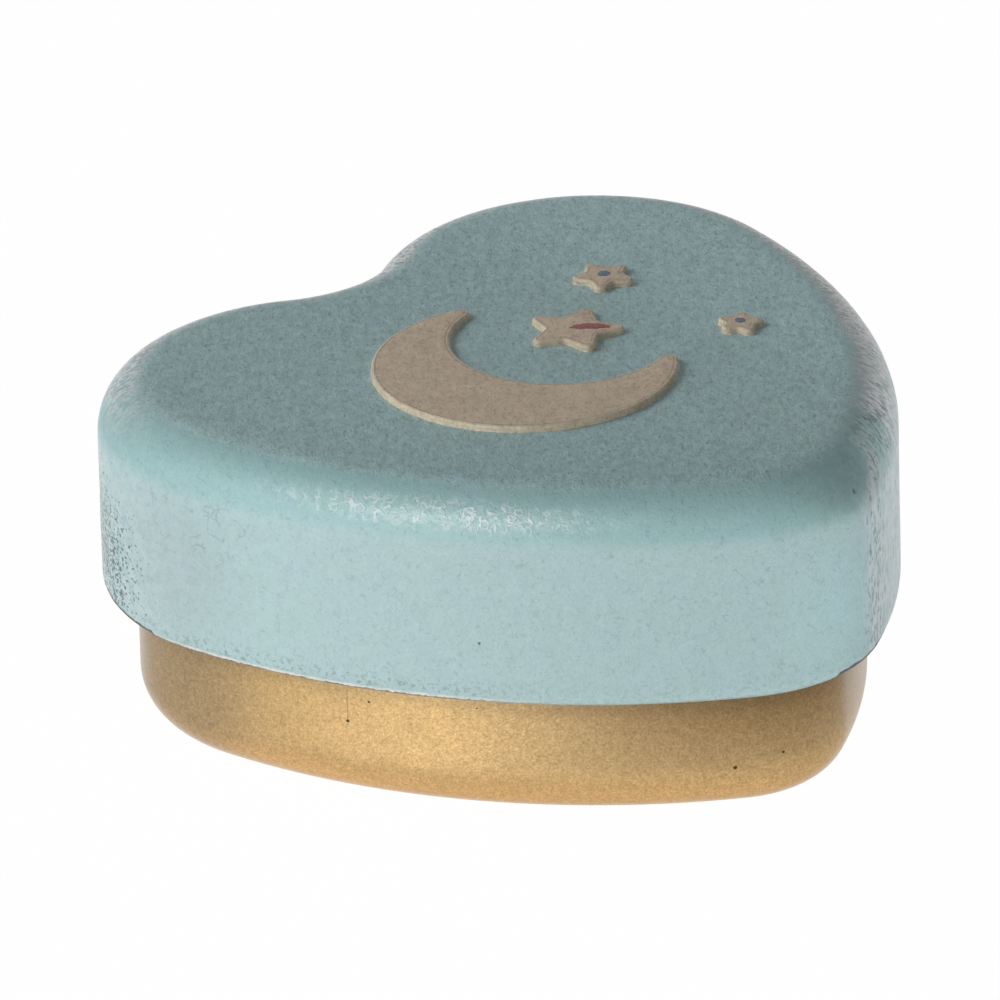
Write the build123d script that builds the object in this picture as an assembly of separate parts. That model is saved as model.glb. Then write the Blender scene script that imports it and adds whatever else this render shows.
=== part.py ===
from build123d import *
import math
import os

# A small heart-shaped keepsake tin: a drawn base pan and a slip-on lid, millimetres, +Z up.
# The cleft of the heart points to +Y. The origin is on the surface that the tin stands on,
# under the middle of the lid.

# Sheet and fits
sheet = 0.3                 # painted tinplate
slide_clearance = 0.13      # between the lid's rolled edge and the base wall
seat_clearance = 0.05       # between the base's rim and the inside of the lid
overrun = 1.0               # how far a cutting shape runs past what it cuts
touch = 0.001               # arc ends closer than this are one point

# Heart outline, measured on the outside of the lid
lid_width = 50.0
lid_length = 47.3
lobe_radius = 13.9
cleft_radius = 7.3
side_radius = 43.0
tip_radius = 9.6

# Lid
tin_height = 22.3           # from the table to the lid's flat top
lid_depth = 13.75           # from the lid's flat top to the bottom of its rolled edge
lid_corner = 3.5            # outside radius between wall and top
lid_curl = 1.0              # outside radius of the rolled edge
lid_curl_turn = 288.0       # degrees that the edge is rolled through

# Base
base_corner = 3.2           # outside radius between wall and bottom
base_curl = 0.75            # outside radius of the rolled rim
base_curl_turn = 285.0      # degrees that the rim is rolled through
foot_band = 4.6             # from the base wall to the pressed-up middle of the bottom
foot_step = 0.5             # how far the middle of the bottom is pressed up
step_round = 0.35           # bend at the edges of that step

# Emblem pressed up in the lid: a crescent moon with stars
relief = 0.45
relief_round = 0.2
moon_x = -2.2
moon_y = 1.2
moon_radius = 9.4
hollow_radius = 6.8
hollow_shift = 4.4          # from the moon's centre to the centre of its hollow
hollow_bearing = 17.0       # degrees, the way that the hollow opens
horn_round = 0.6
star_points = 5
star_waist_share = 0.5      # a star's inner radius as a share of its outer radius
star_tip_round = 0.42
star_notch_round = 0.35

# Each star: x, y, outer radius, and turn in degrees
big_star = (3.6, 3.0, 3.6, 12.0)
middle_star = (10.4, 7.6, 2.5, -14.0)
small_star = (11.4, -3.6, 2.0, 20.0)

# Worked out from the above
base_inset = 2 * lid_curl + slide_clearance
lid_edge_height = tin_height - lid_depth
inner_corner = lid_corner - sheet

# The rim meets the bend inside the lid, or its flat top if the rim stands inside the bend.
rim_from_bend = max(0, lid_corner - base_inset - base_curl)
rim_reach = inner_corner - base_curl - seat_clearance
rim_middle_height = tin_height - lid_corner + math.sqrt(rim_reach**2 - rim_from_bend**2)


def direction(degrees):
    return Vector(math.cos(math.radians(degrees)), math.sin(math.radians(degrees)))


def bearing(vector):
    return math.degrees(math.atan2(vector.Y, vector.X))


def crossing(first, first_radius, second, second_radius):
    """Where two circles cross, to the left of the way from the first centre to the second."""
    span = (second - first).length
    along = (second - first) / span
    reach = (first_radius**2 - second_radius**2 + span**2) / (2 * span)
    across = math.sqrt(first_radius**2 - reach**2)
    return first + along * reach + Vector(-along.Y, along.X) * across


# An outline is a list of arcs, (centre, radius, start, turn), anticlockwise, in degrees.
# A hollow arc turns clockwise. Where two arcs don't touch, a straight line joins them.


def heart_outline():
    lobe = Vector(lid_width / 2 - lobe_radius, lid_length / 2 - lobe_radius)
    tip = Vector(0, tip_radius - lid_length / 2)
    cleft = Vector(0, lobe.Y + math.sqrt((lobe_radius + cleft_radius) ** 2 - lobe.X**2))
    side = crossing(tip, side_radius - tip_radius, lobe, side_radius - lobe_radius)
    tip_end = bearing(tip - side)
    side_end = bearing(lobe - side)
    lobe_end = bearing(cleft - lobe)
    right_half = [
        (tip, tip_radius, -90, tip_end + 90),
        (side, side_radius, tip_end, side_end - tip_end),
        (lobe, lobe_radius, side_end, lobe_end - side_end),
        (cleft, cleft_radius, lobe_end - 180, 90 - lobe_end),
    ]
    left_half = [
        (Vector(-centre.X, centre.Y), radius, 180 - start - turn, turn)
        for centre, radius, start, turn in reversed(right_half)
    ]
    return right_half + left_half


def moon_outline():
    middle = Vector(moon_x, moon_y)
    hollow = middle + direction(hollow_bearing) * hollow_shift
    upper = crossing(middle, moon_radius - horn_round, hollow, hollow_radius + horn_round)
    lower = crossing(hollow, hollow_radius + horn_round, middle, moon_radius - horn_round)
    half_mouth = bearing(upper - middle) - hollow_bearing
    half_hollow = bearing(upper - hollow) - hollow_bearing
    horn_turn = 180 + half_mouth - half_hollow
    return [
        (middle, moon_radius, hollow_bearing + half_mouth, 360 - 2 * half_mouth),
        (lower, horn_round, hollow_bearing - half_mouth, horn_turn),
        (hollow, hollow_radius, hollow_bearing - half_hollow, 2 * half_hollow - 360),
        (upper, horn_round, hollow_bearing + half_mouth - horn_turn, horn_turn),
    ]


def star_outline(x, y, radius, turn):
    middle = Vector(x, y)
    step = 180 / star_points
    waist = radius * star_waist_share
    across = waist * math.sin(math.radians(step))
    half_tip = math.degrees(math.atan2(across, radius - waist * math.cos(math.radians(step))))
    half_notch = half_tip + step
    tip_reach = radius - star_tip_round / math.sin(math.radians(half_tip))
    notch_reach = waist + star_notch_round / math.sin(math.radians(half_notch))
    arcs = []
    for k in range(star_points):
        tip_way = 90 + turn + 2 * k * step
        notch_way = tip_way + step
        tip = middle + direction(tip_way) * tip_reach
        notch = middle + direction(notch_way) * notch_reach
        arcs.append((tip, star_tip_round, tip_way + half_tip - 90, 180 - 2 * half_tip))
        arcs.append((notch, star_notch_round, notch_way - half_notch - 90, 2 * half_notch - 180))
    return arcs


def inset_outline(outline, inset):
    return [
        (centre, radius - math.copysign(inset, turn), start, turn)
        for centre, radius, start, turn in outline
    ]


def flat(outline, height):
    """Flat face within an outline."""
    arcs = [CenterArc(*arc) for arc in outline]
    edges = []
    for arc, following in zip(arcs, arcs[1:] + arcs[:1]):
        edges.append(arc)
        if (following @ 0 - arc @ 1).length > touch:
            edges.append(Line(arc @ 1, following @ 0))
    return Pos(0, 0, height) * make_face(edges)


def block(outline, low, high):
    return extrude(flat(outline, low), high - low)


def lowest_face(solid):
    return solid.faces().sort_by(Axis.Z)[0]


def highest_face(solid):
    return solid.faces().sort_by(Axis.Z)[-1]


def domed_block(outline, low, high, corner):
    """Block whose upper edge is rounded."""
    plain = block(outline, low, high)
    return fillet(highest_face(plain).edges(), corner)


def dished_block(outline, low, high, corner):
    """Block whose lower edge is rounded."""
    plain = block(outline, low, high)
    return fillet(lowest_face(plain).edges(), corner)


def rolled_edge(outline, height, curl, turn, way):
    """Wall that ends in an inward curl centred at height. way is -1 for down and 1 for up.

    The section lies beside the wall with X inward and Y up. Each arc of the outline
    turns it about that arc's own centre.
    """
    outer = CenterArc((curl, 0), curl, 180, -way * turn)
    inner = CenterArc((curl, 0), curl - sheet, 180, -way * turn)
    root = -way * curl
    section = make_face(
        [
            outer,
            Line(outer @ 1, inner @ 1),
            inner,
            Line(inner @ 0, (sheet, root)),
            Line((sheet, root), (0, root)),
            Line((0, root), outer @ 0),
        ]
    )
    up = Vector(0, 0, 1)
    lengths = []
    for centre, radius, start, angle in outline:
        spoke = direction(start)
        hollow_side = angle < 0
        inward = spoke if hollow_side else -spoke
        place = Plane(centre + spoke * radius + up * height, inward, inward.cross(up))
        axis = Axis(centre, -up if hollow_side else up)
        lengths.append(revolve(place * section, axis, abs(angle)))
    return lengths[0].fuse(*lengths[1:])


def make_lid():
    outside = heart_outline()
    inside = inset_outline(outside, sheet)
    joint = lid_edge_height + 2 * lid_curl
    lid = domed_block(outside, joint, tin_height, lid_corner)
    lid -= domed_block(inside, joint - overrun, tin_height - sheet, inner_corner)
    motifs = [moon_outline()]
    motifs += [star_outline(*place) for place in (big_star, middle_star, small_star)]
    for motif in motifs:
        lid += domed_block(motif, tin_height - sheet / 2, tin_height + relief, relief_round)
        recess = inset_outline(motif, sheet)
        lid -= block(recess, tin_height - sheet - overrun, tin_height + relief - sheet)
    middle = lid_edge_height + lid_curl
    return lid + rolled_edge(outside, middle, lid_curl, lid_curl_turn, -1)


def make_base():
    outside = inset_outline(heart_outline(), base_inset)
    inside = inset_outline(outside, sheet)
    joint = rim_middle_height - base_curl
    base = dished_block(outside, 0, joint, base_corner)
    base -= dished_block(inside, sheet, joint + overrun, base_corner - sheet)
    step_below = inset_outline(outside, foot_band)
    step_above = inset_outline(outside, foot_band - sheet)
    base += domed_block(step_above, sheet / 2, sheet + foot_step, step_round)
    base -= block(step_below, -overrun, foot_step)
    base = fillet(lowest_face(base).inner_wires()[0].edges(), step_round)
    return base + rolled_edge(outside, rim_middle_height, base_curl, base_curl_turn, 1)


def main():
    os.makedirs("parts", exist_ok=True)
    pieces = {"lid": make_lid(), "base": make_base()}
    for name, piece in pieces.items():
        export_step(piece, f"parts/{name}.step")


main()
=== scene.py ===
"""Dresses the heart-shaped keepsake tin: painted lid, raised emblem, gold base and a plain stage.

All sizes are in metres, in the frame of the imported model: +Z up, the heart's cleft towards +Y.
"""

import math

import bpy
import numpy as np
from bpy.props import FloatProperty, FloatVectorProperty, PointerProperty
from mathutils import Matrix, Vector


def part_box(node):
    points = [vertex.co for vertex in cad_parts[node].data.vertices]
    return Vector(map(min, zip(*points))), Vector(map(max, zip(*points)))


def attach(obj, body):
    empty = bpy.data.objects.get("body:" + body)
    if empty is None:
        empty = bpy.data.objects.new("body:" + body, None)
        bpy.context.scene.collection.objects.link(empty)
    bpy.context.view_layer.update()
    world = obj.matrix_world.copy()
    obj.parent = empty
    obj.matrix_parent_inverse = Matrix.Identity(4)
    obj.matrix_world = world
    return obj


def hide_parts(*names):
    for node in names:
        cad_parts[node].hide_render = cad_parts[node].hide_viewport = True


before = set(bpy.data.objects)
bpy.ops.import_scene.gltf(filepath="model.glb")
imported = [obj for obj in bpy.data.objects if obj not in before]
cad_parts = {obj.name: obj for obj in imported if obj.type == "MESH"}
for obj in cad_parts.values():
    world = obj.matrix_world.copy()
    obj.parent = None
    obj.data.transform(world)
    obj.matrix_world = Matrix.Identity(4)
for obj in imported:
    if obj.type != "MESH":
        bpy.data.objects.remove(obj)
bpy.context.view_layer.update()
LID_LOW, LID_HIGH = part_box("lid")
BASE_LOW, BASE_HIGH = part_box("base")

bl_info = {
    "name": "Heart keepsake tin",
    "version": (1, 0, 0),
    "blender": (4, 5, 0),
    "location": "3D View > Sidebar > Tin",
    "description": "Builds the tin's lid, emblem and base, and the stage that they stand on",
    "category": "Object",
}

MM = 0.001
UP = Vector((0, 0, 1))
QUARTER = math.pi / 2
WHITE = (1, 1, 1, 1)

# Stations round the heart and round the moon, round a star, and round the moon's and a star's
# hollow as seen from inside the lid
ROUND = 480
STAR_ROUND = 200
MOON_HOLLOW_ROUND, STAR_HOLLOW_ROUND = 240, 160

# The width of the frame that the studio's pixels refer to, and half the floor's width
FRAME_PX = 1000
FLOOR_REACH = 0.6

# Roughness of the gloss that is seen where a painted surface turns away
COAT_ROUGHNESS = 0.30

# Wear, and patches of painted shade and painted light, in millimetres. A patch is its centre, then its
# reach across and up.
SIDE_CHALK = (24.5, -2.5, 15.0, 30.5, 60.0)
TIP_STREAKS = (4.4, -22.5, 13.0, 3.2, 9.0)
TIP_SOUND = (1.8, -20.8, 21.5, 3.8, 2.6)
LOBE_PORES = (-23.0, 17.5, 12.0, 13.0, 12.0)
LOBE_CRACKS = (-24.9, 7.6, 17.4, 8.5, 3.4)
FRONT_CURLS = (-17.9, -7.9, 20.8, 14.5, 1.1)
CLEFT_WEAR_AND_SHEEN = (3.6, 19.2, 21.4, 2.6, 1.2)
WORN_EDGE = (-22.5, -1.0, 8.8, 17.0, 4.0)
TIP_SHADE = (3.0, -22.6, 20.4, 6.5, 2.2)
TIP_LIGHT = (1.0, -23.6, 13.5, 6.0, 8.0)
LOBE_SHADE = (-22.8, 15.6, 21.0, 8.0, 2.6)
LOBE_WALL_SHADE = (-24.8, 8.5, 14.0, 7.5, 9.0)
GOLD_SHADE = (-1.0, -21.0, 9.0, 18.0, 6.5)
GOLD_LOBE_SHADE = (-22.3, 12.0, 5.0, 9.5, 9.0)

# The point on the bend round which its pale wear and painted sheen are thin
RIM_DARK = (7.0, -19.3, 21.7)

# A mark is a point and a radius. A scratch is a point, its half width and its half height.
LID_CHIPS = ((-17.3, -10.7, 12.8, 0.13), (-22.2, -1.9, 9.1, 0.12))
LID_GOUGE = (2.3, -22.98, 20.39, 0.14, 0.32)
GOLD_PITS = (
    (-20.0, -1.6, 5.5, 0.13),
    (-19.4, -2.9, 7.0, 0.11),
    (-19.8, -2.0, 7.1, 0.07),
    (-16.0, -8.9, 7.4, 0.08),
    (-4.9, -19.8, 3.3, 0.18),
    (-2.2, -21.2, 3.9, 0.14),
)
GOLD_SCRATCH = (-20.0, -1.6, 6.4, 0.06, 1.6)

# Bare sheet along the lid's lower edge: where a line of it starts, its way and its length
BARE_EDGES = (
    ((0.3, -23.6, 8.6), (0.92, 0.39, 0.0), 7.0),
    ((-25.0, 10.6, 8.6), (0.28, 0.96, 0.0), 8.0),
)

# Ways along the ground: to the tip's right, to the back as the camera sees it, and the turn that
# brings the way to the camera onto X
TIPWARD = (0.6, -0.8, 0.0)
REAR_WAY = (0.676, 0.737, 0.0)
SIGHT_TURN = math.radians(132.5)

# The reach from the tin's axis at which streaks down its wall have their full width
STREAK_REACH = 22.0

# The emblem. A star is its middle, its outer radius and its turn.
MOON = (-2.2 * MM, 1.2 * MM)
MOON_RADIUS, HORN_ROUND = 9.4 * MM, 0.6 * MM
HOLLOW_RADIUS, HOLLOW_SHIFT, HOLLOW_WAY = 6.8 * MM, 4.4 * MM, math.radians(17)
STAR_POINTS, STAR_WAIST_SHARE = 5, 0.5
STAR_TIP_ROUND, STAR_NOTCH_ROUND = 0.42 * MM, 0.35 * MM
STARS = {
    "star_big": (3.6 * MM, 3.0 * MM, 3.6 * MM, math.radians(12)),
    "star_middle": (10.4 * MM, 7.6 * MM, 2.5 * MM, math.radians(-14)),
    "star_small": (11.4 * MM, -3.6 * MM, 2.0 * MM, math.radians(20)),
}

# A touch: its colour, middle, half length, half width and bend in millimetres, turn in degrees
TOUCHES = {
    "touch_big": ("red", 4.35, 2.35, 1.30, 0.46, 0.10, 138),
    "touch_middle": ("blue", 10.4, 7.6, 0.48, 0.42, 0.0, 17),
    "touch_small": ("blue", 11.4, -3.6, 0.42, 0.37, 0.0, 60),
}


def amount(default, name, description, **options):
    return FloatProperty(name=name, description=description, default=default, **options)


def length(mm, name, description):
    return amount(mm * MM, name, description, unit="LENGTH", precision=5)


def angle(degrees, name, description):
    return amount(math.radians(degrees), name, description, unit="ROTATION")


def colour(default, name, description):
    return FloatVectorProperty(
        name=name, description=description, default=default, subtype="COLOR", min=0, max=1
    )


class TinSizes(bpy.types.PropertyGroup):
    """The tin's own sizes. What the frame holds, such as its width, is read from there."""

    lobe_radius: length(13.9, "Lobe radius", "Radius of the heart's two lobes")
    cleft_radius: length(7.3, "Cleft radius", "Radius of the hollow between the lobes")
    side_radius: length(43.0, "Side radius", "Radius of the heart's long sides")
    tip_radius: length(9.6, "Tip radius", "Radius of the heart's tip")
    sheet: length(0.3, "Sheet", "Thickness of the tinplate")
    lid_corner: length(3.5, "Lid bend", "Outside radius between the lid's wall and top")
    lid_curl: length(1.0, "Lid roll", "Outside radius of the lid's rolled edge")
    lid_curl_turn: angle(288, "Lid roll turn", "How far the lid's edge is rolled")
    base_corner: length(3.2, "Base bend", "Outside radius between the base's wall and bottom")
    base_curl: length(0.75, "Base roll", "Outside radius of the base's rolled rim")
    base_curl_turn: angle(285, "Base roll turn", "How far the base's rim is rolled")
    foot_band: length(4.6, "Foot band", "From the base's wall to the pressed-up middle")
    foot_step: length(0.5, "Foot step", "How far the middle of the bottom is pressed up")
    step_round: length(0.35, "Step bend", "Bends at the edges of that step")
    relief: length(0.45, "Relief", "How far the emblem stands up")
    relief_round: length(0.2, "Relief bend", "Rounding at the emblem's upper edge")
    relief_foot: length(0.06, "Relief foot", "Hollow bend where the emblem leaves the top")
    hollow_depth: length(0.24, "Emblem hollow", "Depth of the emblem seen from inside")
    hollow_slope: length(0.45, "Hollow slope", "Width of the slope round that hollow")
    swell: length(0.03, "Swell", "How far the emblem's faces bulge in their middle")
    ripple: length(0.010, "Ripple", "Height of the slow unevenness of the painted sheet")
    touch_height: length(0.025, "Touch height", "Thickness of the small enamel touches")


class TinColours(bpy.types.PropertyGroup):
    """Colours of the paints and of the bare sheet, linear."""

    aqua: colour((0.45, 0.612, 0.627), "Aqua", "The lid's paint on its wall")
    # Deep aqua is the same paint with painted shade for the bend, and top aqua with painted light for
    # the top
    aqua_bend_shade: colour((0.365, 0.58, 0.59), "Deep aqua", "The lid's paint on its bend")
    aqua_top_light: colour((0.475, 0.680, 0.690), "Top aqua", "The lid's paint on its top")
    crack: colour((0.10, 0.15, 0.16), "Crack", "Cracks, pores and chips in the lid's paint")
    # Scuff and frost are pale wear that also stand for painted sheen where the lid's bend and tip turn
    # away
    scuff_and_sheen: colour((0.64, 0.72, 0.735), "Scuff", "Where the lid's paint is scuffed pale")
    worn_edge: colour((0.93, 0.96, 0.90), "Worn edge", "Where the lid's lower edge is worn pale")
    # The brown line under the lid's lower edge is painted shade under its roll
    roll_underside_shade: colour((0.17, 0.12, 0.08), "Grime", "Brown line under the lid's lower edge")
    bare: colour((0.045, 0.042, 0.043), "Bare edge", "Bare sheet along the lid's lower edge")
    # Glint is painted highlight, laid on the curls of the front bend and at the cleft
    glint: colour((0.84, 0.92, 0.93), "Glint", "Raised curls of the lid's paint")
    frost_and_sheen: colour((0.95, 0.97, 0.97), "Frost", "Pale frosted streaks on the lid's bend")
    gold: colour((0.645, 0.435, 0.20), "Gold", "The base's metallic paint")
    pit: colour((0.07, 0.045, 0.025), "Pit", "Pits in the gold")
    cream: colour((0.80, 0.645, 0.475), "Fawn", "The emblem's enamel")
    cream_side: colour((0.78, 0.67, 0.50), "Cream", "The emblem's enamel on its sides")
    # This colour also lays the painted shade in the emblem's crease
    enamel_crack: colour((0.25, 0.18, 0.12), "Enamel crack", "Cracks and creases in the enamel")
    blue: colour((0.10, 0.19, 0.30), "Blue", "The blue touches")
    red: colour((0.36, 0.07, 0.08), "Red", "The red touches")
    tinplate: colour((0.78, 0.77, 0.74), "Tinplate", "The bare sheet inside")
    floor: colour((0.90, 0.90, 0.90), "Floor", "The floor")


class TinStudio(bpy.types.PropertyGroup):
    """Where the camera stands, and how strong the lights are. A lamp's level is the light that
    it gives a surface that faces it: 1 makes white paint just white."""

    camera_bearing: angle(-132.543, "Camera bearing", "The camera's way from the tin, from +X")
    camera_rise: angle(24.722, "Camera rise", "How far the camera looks down")
    camera_roll: angle(-1.291, "Camera roll", "The camera's turn about its line of sight")
    camera_distance: length(945.988, "Camera distance", "From the camera to the tin's middle")
    lens_px: amount(15409.06, "Lens", "Focal length in pixels of the 1000 pixel frame")
    middle_right_px: amount(68.519, "Right of centre", "The tin's middle, pixels from the centre")
    middle_down_px: amount(29.941, "Below centre", "The tin's middle, pixels from the centre")
    front: amount(0.46, "Front", "Level of the low lamp at the tin's left front")
    fill: amount(0.17, "Fill", "Level of the soft light from below the front lamp")
    back: amount(0.42, "Back", "Level of the soft light from behind the tin's left")
    right: amount(0.50, "Right", "Level of the soft low light at the tin's right")
    key: amount(0.50, "Key", "Level of the small high lamp, which only glints")
    sky: amount(0.14, "Sky", "Level of the even light from all round")
    mirrored_floor: amount(0.62, "Mirrored floor", "How white the floor is in reflections")
    mirrored_world: amount(0.60, "Mirrored world", "How white the surroundings are in reflections")


# Outlines. An arc is centre x, centre y, radius, start and turn. A hollow arc turns clockwise.


def crossing(first, first_radius, second, second_radius):
    """Where two circles cross, to the left of the way from the first centre to the second."""
    span = (second - first).length
    along = (second - first) / span
    reach = (first_radius**2 - second_radius**2 + span**2) / (2 * span)
    across = math.sqrt(first_radius**2 - reach**2)
    return first + along * reach + Vector((-along.y, along.x)) * across


def bearing(vector):
    return math.atan2(vector.y, vector.x)


def heading(way, rise=0.0):
    """The unit vector with a bearing and a rise."""
    level = math.cos(rise)
    return Vector((math.cos(way) * level, math.sin(way) * level, math.sin(rise)))


def heart_arcs(sizes):
    """Tip, side, lobe and cleft of the right half, each tangent to the next, and their mirrors."""
    width, height = LID_HIGH.x - LID_LOW.x, LID_HIGH.y - LID_LOW.y
    lobe = Vector((width / 2 - sizes.lobe_radius, height / 2 - sizes.lobe_radius))
    tip = Vector((0, sizes.tip_radius - height / 2))
    reach = sizes.lobe_radius + sizes.cleft_radius
    cleft = Vector((0, lobe.y + math.sqrt(reach**2 - lobe.x**2)))
    side_radius = sizes.side_radius
    side = crossing(tip, side_radius - sizes.tip_radius, lobe, side_radius - sizes.lobe_radius)
    tip_end, side_end, lobe_end = bearing(tip - side), bearing(lobe - side), bearing(cleft - lobe)
    right = [
        (*tip, sizes.tip_radius, -QUARTER, tip_end + QUARTER),
        (*side, side_radius, tip_end, side_end - tip_end),
        (*lobe, sizes.lobe_radius, side_end, lobe_end - side_end),
        (*cleft, sizes.cleft_radius, lobe_end - math.pi, QUARTER - lobe_end),
    ]
    left = [(-x, y, r, math.pi - start - turn, turn) for x, y, r, start, turn in right[::-1]]
    return np.array(right + left)


def stations(arcs, count, closed=True):
    """Points spread evenly along a chain of arcs and of the straight lines that join them.

    Returns each point and its outward normal. A point moved inward by its normal times any
    inset lies on the exact inset of the outline.
    """
    x, y, radius, start, turn = arcs.T
    centre = np.column_stack([x, y])

    def on_arc(share, pick=slice(None)):
        way = start[pick] + turn[pick] * share
        return np.column_stack([np.cos(way), np.sin(way)])

    first = centre + radius[:, None] * on_arc(0)
    last = centre + radius[:, None] * on_arc(1)
    line = np.roll(first, -1, axis=0) - last
    line_length = np.hypot(*line.T)
    line_length[-1] *= closed
    lengths = np.column_stack([np.abs(turn) * radius, line_length]).ravel()
    ends = np.cumsum(lengths)
    along = (np.arange(count) + 0.5) / count * ends[-1]
    piece = np.searchsorted(ends, along)
    share = (along - (ends[piece] - lengths[piece])) / lengths[piece]
    arc, straight = piece // 2, (piece % 2 == 1)[:, None]
    way = on_arc(share, arc)
    step = line[arc] / np.maximum(line_length[arc], 1e-12)[:, None]
    point = np.where(
        straight, last[arc] + line[arc] * share[:, None], centre[arc] + radius[arc, None] * way
    )
    normal = np.where(
        straight, np.column_stack([step[:, 1], -step[:, 0]]), way * np.sign(turn[arc])[:, None]
    )
    return point, normal


def arc_points(middle, radius, start, turn, count):
    """Part of a circle in the section: inset and height at even turns from start."""
    way = start + turn * np.linspace(0, 1, count)
    return np.column_stack([middle[0] + radius * np.cos(way), middle[1] + radius * np.sin(way)])


def in_row(*parts):
    """A section from its bends. A number between two bends is how many points lie evenly on the
    straight line that joins them."""
    rows = []
    for k, part in enumerate(parts):
        if isinstance(part, int):
            share = np.linspace(0, 1, part + 2)[1:-1, None]
            part = parts[k - 1][-1] * (1 - share) + parts[k + 1][0] * share
        rows.append(part)
    return np.vstack(rows)


def carried(outline, section):
    """A section carried round an outline: point (i, j) is station j moved inward by the i-th
    inset of the section and set at its i-th height."""
    point, normal = outline
    flat = point[None] - section[:, 0, None, None] * normal[None]
    height = np.broadcast_to(section[:, 1, None, None], (*flat.shape[:2], 1))
    return np.concatenate([flat, height], axis=2)


def drawn_in(ring, pole, shares):
    """Rings between a pole and a ring: the outer ring shrunk about the pole to each share."""
    return pole + (ring[None] - pole) * shares[:, None, None]


def even(rows):
    """Shares k / rows, for k from 1 to rows - 1."""
    return np.arange(1, rows) / rows


def dense_at_one(rows):
    """Shares sin(quarter turn * k / rows), which crowd together near 1, from the greatest."""
    return np.sin(even(rows) * QUARTER)[::-1]


def depth_inside(points, outline):
    """How far each point lies inside an outline, below zero outside: its distance from the
    nearest station along that station's inward normal."""
    edge, normal = outline
    flat = points[:, :2]
    squares = (flat**2).sum(1)[:, None] + (edge**2).sum(1)[None] - 2 * flat @ edge.T
    nearest = squares.argmin(1)
    return -((flat - edge[nearest]) * normal[nearest]).sum(1)


def linked(name, data):
    """A new object of the scene."""
    thing = bpy.data.objects.new(name, data)
    bpy.context.scene.collection.objects.link(thing)
    return thing


class Skin:
    """Gathers grids of points and the faces between them, and makes a mesh of them."""

    def __init__(self):
        self.points, self.faces, self.slots, self.rims, self.count = [], [], [], [], 0

    def grid(self, points, rim=0.0):
        """Adds points, with their distance from a rim, and returns their numbers in the same
        arrangement."""
        numbers = self.count + np.arange(points[..., 0].size).reshape(points.shape[:-1])
        self.points.append(points.reshape(-1, 3))
        self.rims.append(np.broadcast_to(rim, numbers.shape).ravel())
        self.count += numbers.size
        return numbers

    def quads(self, numbers, slot=0, ring=True):
        """Faces between neighbouring numbers of a grid, closed round its second way."""
        if ring:
            numbers = np.column_stack([numbers, numbers[:, :1]])
        a, b = numbers[:-1, :-1], numbers[:-1, 1:]
        c, d = numbers[1:, 1:], numbers[1:, :-1]
        self.add(np.stack([a, b, c, d], axis=-1).reshape(-1, 4), slot)

    def fan(self, pole, ring, slot, turned):
        """Triangles from a pole to a ring, facing the other way if turned."""
        following = np.roll(ring, -1)
        spokes = [following, ring] if turned else [ring, following]
        poles = np.full_like(ring, pole)
        self.add(np.stack([poles, *spokes], axis=-1), slot)

    def add(self, faces, slot):
        self.faces.append(faces)
        self.slots.append(np.full(len(faces), slot))

    def closed(self, rings, poles, bare=None, turned=False, rim=0.0, pole_rim=0.0):
        """Rings from a first pole to a last one, with all the faces of a closed skin. The rings
        from number bare on take the second material."""
        numbers = self.grid(rings, rim)
        first, last = self.grid(np.array(poles), pole_rim)
        rows = numbers[:, ::-1] if turned else numbers
        self.quads(rows[: bare + 1] if bare else rows)
        if bare:
            self.quads(rows[bare:], 1)
        self.fan(first, numbers[0], 0, not turned)
        self.fan(last, numbers[-1], 1 if bare else 0, turned)

    def piece(self, name, materials):
        """A smooth-shaded object at the origin that holds the gathered faces."""
        mesh = bpy.data.meshes.new(name)
        sizes = np.concatenate([np.full(len(f), f.shape[1]) for f in self.faces])
        corners = np.concatenate([f.ravel() for f in self.faces])
        mesh.vertices.add(self.count)
        mesh.loops.add(len(corners))
        mesh.polygons.add(len(sizes))
        for group, field, values, kind in (
            (mesh.vertices, "co", np.concatenate(self.points).ravel(), np.float32),
            (mesh.loops, "vertex_index", corners, np.int32),
            (mesh.polygons, "loop_start", np.cumsum(sizes) - sizes, np.int32),
            (mesh.polygons, "material_index", np.concatenate(self.slots), np.int32),
            (mesh.polygons, "use_smooth", np.ones(len(sizes)), bool),
        ):
            group.foreach_set(field, values.astype(kind))
        rims = np.concatenate(self.rims).astype(np.float32)
        if rims.any():
            mesh.attributes.new("rim", "FLOAT", "POINT").data.foreach_set("value", rims / MM)
        for material in materials:
            mesh.materials.append(material)
        mesh.update()
        mesh.validate()
        return linked(name, mesh)


def rippled(points, outward, height, seed):
    """Points moved along outward by a slow unevenness: the sum of many sine waves of seeded
    ways, lengths and phases, over the square root of their number, times the height."""
    draw = np.random.default_rng(seed)
    waves = 24
    ways = draw.normal(size=(waves, 3))
    ways /= np.linalg.norm(ways, axis=1, keepdims=True)
    wave_lengths = draw.uniform(2.5, 8.0, waves) * MM
    phases = draw.uniform(0, 2 * math.pi, waves)
    turns = points @ (ways * 2 * math.pi / wave_lengths[:, None]).T + phases
    rise = np.sin(turns).sum(-1, keepdims=True) / math.sqrt(waves) * height
    return points + outward * rise


# Shader maths


class Flow:
    """A shader socket that takes part in Python sums. Each operation adds a Math node."""

    def __init__(self, finish, socket):
        self.finish, self.socket = finish, socket

    def __add__(self, other):
        return self.finish.math("ADD", self, other)

    def __sub__(self, other):
        return self.finish.math("SUBTRACT", self, other)

    def __rsub__(self, other):
        return self.finish.math("SUBTRACT", other, self)

    def __mul__(self, other):
        return self.finish.math("MULTIPLY", self, other)

    def __abs__(self):
        return self.finish.math("ABSOLUTE", self)

    __radd__, __rmul__ = __add__, __mul__


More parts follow.
